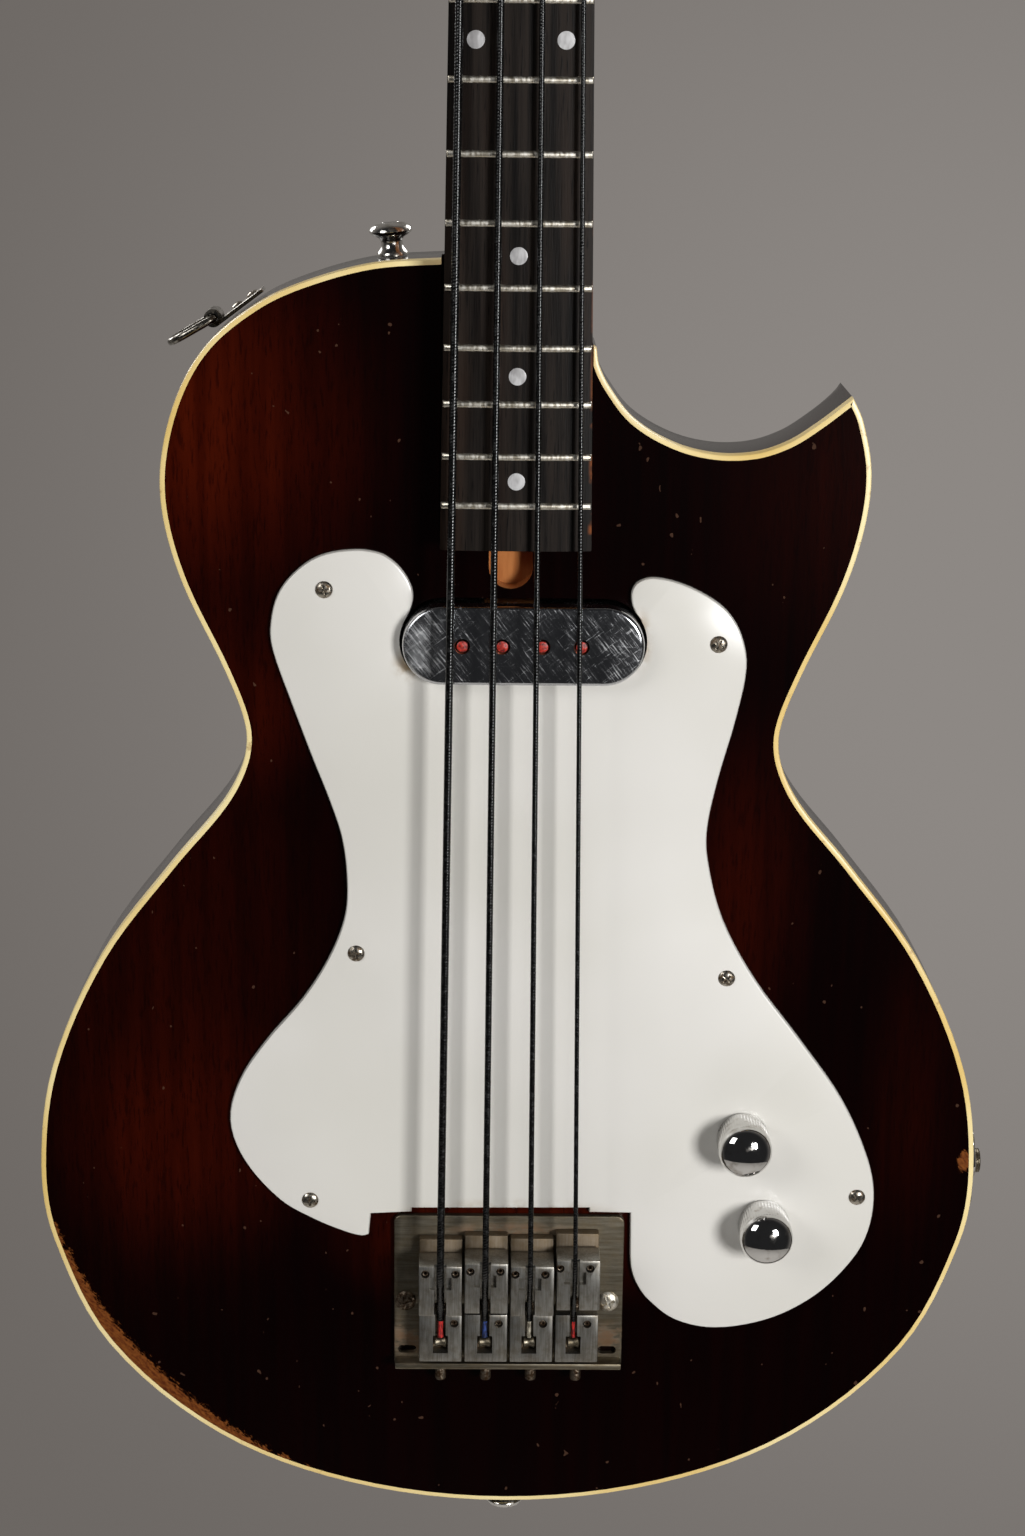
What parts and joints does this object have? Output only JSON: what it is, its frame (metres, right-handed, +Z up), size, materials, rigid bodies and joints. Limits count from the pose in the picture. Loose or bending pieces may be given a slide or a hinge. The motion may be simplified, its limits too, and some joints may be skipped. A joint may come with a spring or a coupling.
{
  "type": "electric bass guitar",
  "caption": "Electric bass guitar with a pointed cutaway body, bolt-on neck, pickup, guard, moving saddles, turning controls and geared tuners.",
  "frame": {"origin": "on the neck's top face just behind the nut, where a hanger holds the neck", "axes": "+Z up the neck, +Y from the strings through the body to its back, +X to the viewer's right"},
  "size_m": [0.3578, 0.0654, 1.1614],
  "materials": {
    "lacquered_wood": "gloss lacquer over dark stain, grain showing, worn at the edges",
    "cream_plastic": "aged cream binding",
    "maple": "satin lacquer, aged",
    "rosewood": "oiled, streaked",
    "bone": "polished bone",
    "steel": "plain steel",
    "chrome": "chrome plate with fine scratches",
    "aged_nickel": "tarnished nickel plate",
    "guard_plastic": "off-white plastic, aged and scratched",
    "coil_wire": "lacquered copper wire under tape",
    "brass": "plain brass",
    "black_string_tape": "black nylon tape wound over steel",
    "wire_cloth": "cloth-covered wire",
    "grey_foam": "soft foam",
    "capacitor_resin": "dipped resin"
  },
  "bodies": {
    "instrument": {"body": "lacquered_wood", "body_binding": "cream_plastic", "bridge_plate": "aged_nickel", "fingerboard": "rosewood", "jack_plate": "chrome", "neck": "maple", "neck_plate": "chrome", "nut": "bone", "output_jack": "aged_nickel", "pickguard": "guard_plastic", "pickup_base": "brass", "pickup_coil": "coil_wire", "pickup_cover": "chrome", "pickup_foam": "grey_foam", "ring_bracket": "chrome", "strap_button_end": "chrome", "strap_button_upper": "chrome", "string_a": "black_string_tape", "string_anchor_a": "aged_nickel", "string_anchor_d": "aged_nickel", "string_anchor_e": "aged_nickel", "string_anchor_g": "aged_nickel", "string_d": "black_string_tape", "string_e": "black_string_tape", "string_g": "black_string_tape", "tone_capacitor": "capacitor_resin", "tone_pot": "steel", "truss_rod": "steel", "tuner_plate_a": "chrome", "tuner_plate_d": "chrome", "tuner_plate_e": "chrome", "tuner_plate_g": "chrome", "volume_pot": "steel", "wiring_harness": "wire_cloth"},
    "volume_control": {"volume_knob": "chrome", "volume_shaft": "brass"},
    "tone_control": {"tone_knob": "chrome", "tone_shaft": "brass"},
    "truss_adjuster": {"truss_rod_nut": "steel"},
    "ring": {"strap_ring": "chrome"},
    "key_e": {"tuner_key_e": "chrome"},
    "post_e": {"tuner_post_e": "chrome"},
    "intonation_e": {"intonation_screw_e": "aged_nickel"},
    "carriage_e": {"saddle_carriage_e": "aged_nickel"},
    "saddle_block_e": {"saddle_e": "aged_nickel"},
    "key_a": {"tuner_key_a": "chrome"},
    "post_a": {"tuner_post_a": "chrome"},
    "intonation_a": {"intonation_screw_a": "aged_nickel"},
    "carriage_a": {"saddle_carriage_a": "aged_nickel"},
    "saddle_block_a": {"saddle_a": "aged_nickel"},
    "key_d": {"tuner_key_d": "chrome"},
    "post_d": {"tuner_post_d": "chrome"},
    "intonation_d": {"intonation_screw_d": "aged_nickel"},
    "carriage_d": {"saddle_carriage_d": "aged_nickel"},
    "saddle_block_d": {"saddle_d": "aged_nickel"},
    "key_g": {"tuner_key_g": "chrome"},
    "post_g": {"tuner_post_g": "chrome"},
    "intonation_g": {"intonation_screw_g": "aged_nickel"},
    "carriage_g": {"saddle_carriage_g": "aged_nickel"},
    "saddle_block_g": {"saddle_g": "aged_nickel"}
  },
  "joints": [
    {"name": "volume_turn", "type": "hinge", "parent": "instrument", "child": "volume_control", "pos_m": [0.0876, -0.0073, -0.8213], "axis": [0, -1, 0], "range_deg": [-270, 0]},
    {"name": "tone_turn", "type": "hinge", "parent": "instrument", "child": "tone_control", "pos_m": [0.0967, -0.0073, -0.8566], "axis": [0, -1, 0], "range_deg": [-270, 0]},
    {"name": "truss_nut_turn", "type": "hinge", "parent": "instrument", "child": "truss_adjuster", "pos_m": [0, 0.0142, -0.5938], "axis": [0, 0, 1], "range_deg": [-360, 360]},
    {"name": "ring_swing", "type": "hinge", "parent": "instrument", "child": "ring", "pos_m": [-0.10658, 0.0292, -0.51976], "axis": [0, 1, 0], "range_deg": [0, 150]},
    {"name": "key_e_turn", "type": "hinge", "parent": "instrument", "child": "key_e", "pos_m": [-0.0235, 0.02755, 0.03596], "axis": [1, 0, 0], "continuous": true},
    {"name": "post_e_turn", "type": "hinge", "parent": "instrument", "child": "post_e", "pos_m": [-0.0235, 0.01072, 0.05105], "axis": [0, -0.9816, 0.1908], "continuous": true},
    {"name": "key_a_turn", "type": "hinge", "parent": "instrument", "child": "key_a", "pos_m": [-0.022, 0.04167, 0.1086], "axis": [1, 0, 0], "continuous": true},
    {"name": "post_a_turn", "type": "hinge", "parent": "instrument", "child": "post_a", "pos_m": [-0.022, 0.02484, 0.12369], "axis": [0, -0.9816, 0.1908], "continuous": true},
    {"name": "key_d_turn", "type": "hinge", "parent": "instrument", "child": "key_d", "pos_m": [0.022, 0.04167, 0.1086], "axis": [1, 0, 0], "continuous": true},
    {"name": "post_d_turn", "type": "hinge", "parent": "instrument", "child": "post_d", "pos_m": [0.022, 0.02484, 0.12369], "axis": [0, -0.9816, 0.1908], "continuous": true},
    {"name": "key_g_turn", "type": "hinge", "parent": "instrument", "child": "key_g", "pos_m": [0.0235, 0.02755, 0.03596], "axis": [1, 0, 0], "continuous": true},
    {"name": "post_g_turn", "type": "hinge", "parent": "instrument", "child": "post_g", "pos_m": [0.0235, 0.01072, 0.05105], "axis": [0, -0.9816, 0.1908], "continuous": true},
    {"name": "intonation_e_turn", "type": "hinge", "parent": "instrument", "child": "intonation_e", "pos_m": [-0.0252, 0.0049, -0.916], "axis": [0, 0, 1], "range_deg": [-1800, 1800]},
    {"name": "carriage_e_slide", "type": "slide", "parent": "instrument", "child": "carriage_e", "axis": [0, 0, 1], "range_m": [-0.0025, 0.0025]},
    {"name": "saddle_e_height", "type": "slide", "parent": "carriage_e", "child": "saddle_block_e", "axis": [0, 1, 0], "range_m": [0, 0.0015]},
    {"name": "intonation_a_turn", "type": "hinge", "parent": "instrument", "child": "intonation_a", "pos_m": [-0.008, 0.0049, -0.916], "axis": [0, 0, 1], "range_deg": [-1800, 1800]},
    {"name": "carriage_a_slide", "type": "slide", "parent": "instrument", "child": "carriage_a", "axis": [0, 0, 1], "range_m": [-0.0025, 0.0025]},
    {"name": "saddle_a_height", "type": "slide", "parent": "carriage_a", "child": "saddle_block_a", "axis": [0, 1, 0], "range_m": [0, 0.0015]},
    {"name": "intonation_d_turn", "type": "hinge", "parent": "instrument", "child": "intonation_d", "pos_m": [0.0092, 0.0049, -0.916], "axis": [0, 0, 1], "range_deg": [-1800, 1800]},
    {"name": "carriage_d_slide", "type": "slide", "parent": "instrument", "child": "carriage_d", "axis": [0, 0, 1], "range_m": [-0.0025, 0.0025]},
    {"name": "saddle_d_height", "type": "slide", "parent": "carriage_d", "child": "saddle_block_d", "axis": [0, 1, 0], "range_m": [0, 0.0015]},
    {"name": "intonation_g_turn", "type": "hinge", "parent": "instrument", "child": "intonation_g", "pos_m": [0.0264, 0.0049, -0.916], "axis": [0, 0, 1], "range_deg": [-1800, 1800]},
    {"name": "carriage_g_slide", "type": "slide", "parent": "instrument", "child": "carriage_g", "axis": [0, 0, 1], "range_m": [-0.0025, 0.0025]},
    {"name": "saddle_g_height", "type": "slide", "parent": "carriage_g", "child": "saddle_block_g", "axis": [0, 1, 0], "range_m": [0, 0.0015]}
  ],
  "couplings": [
    {"joint": "post_e_turn", "follows": "key_e_turn", "ratio": 0.05},
    {"joint": "post_a_turn", "follows": "key_a_turn", "ratio": 0.05},
    {"joint": "post_d_turn", "follows": "key_d_turn", "ratio": -0.05},
    {"joint": "post_g_turn", "follows": "key_g_turn", "ratio": -0.05},
    {"joint": "intonation_e_turn", "follows": "carriage_e_slide", "rad_per_m": -12566},
    {"joint": "intonation_a_turn", "follows": "carriage_a_slide", "rad_per_m": -12566},
    {"joint": "intonation_d_turn", "follows": "carriage_d_slide", "rad_per_m": -12566},
    {"joint": "intonation_g_turn", "follows": "carriage_g_slide", "rad_per_m": -12566}
  ]
}
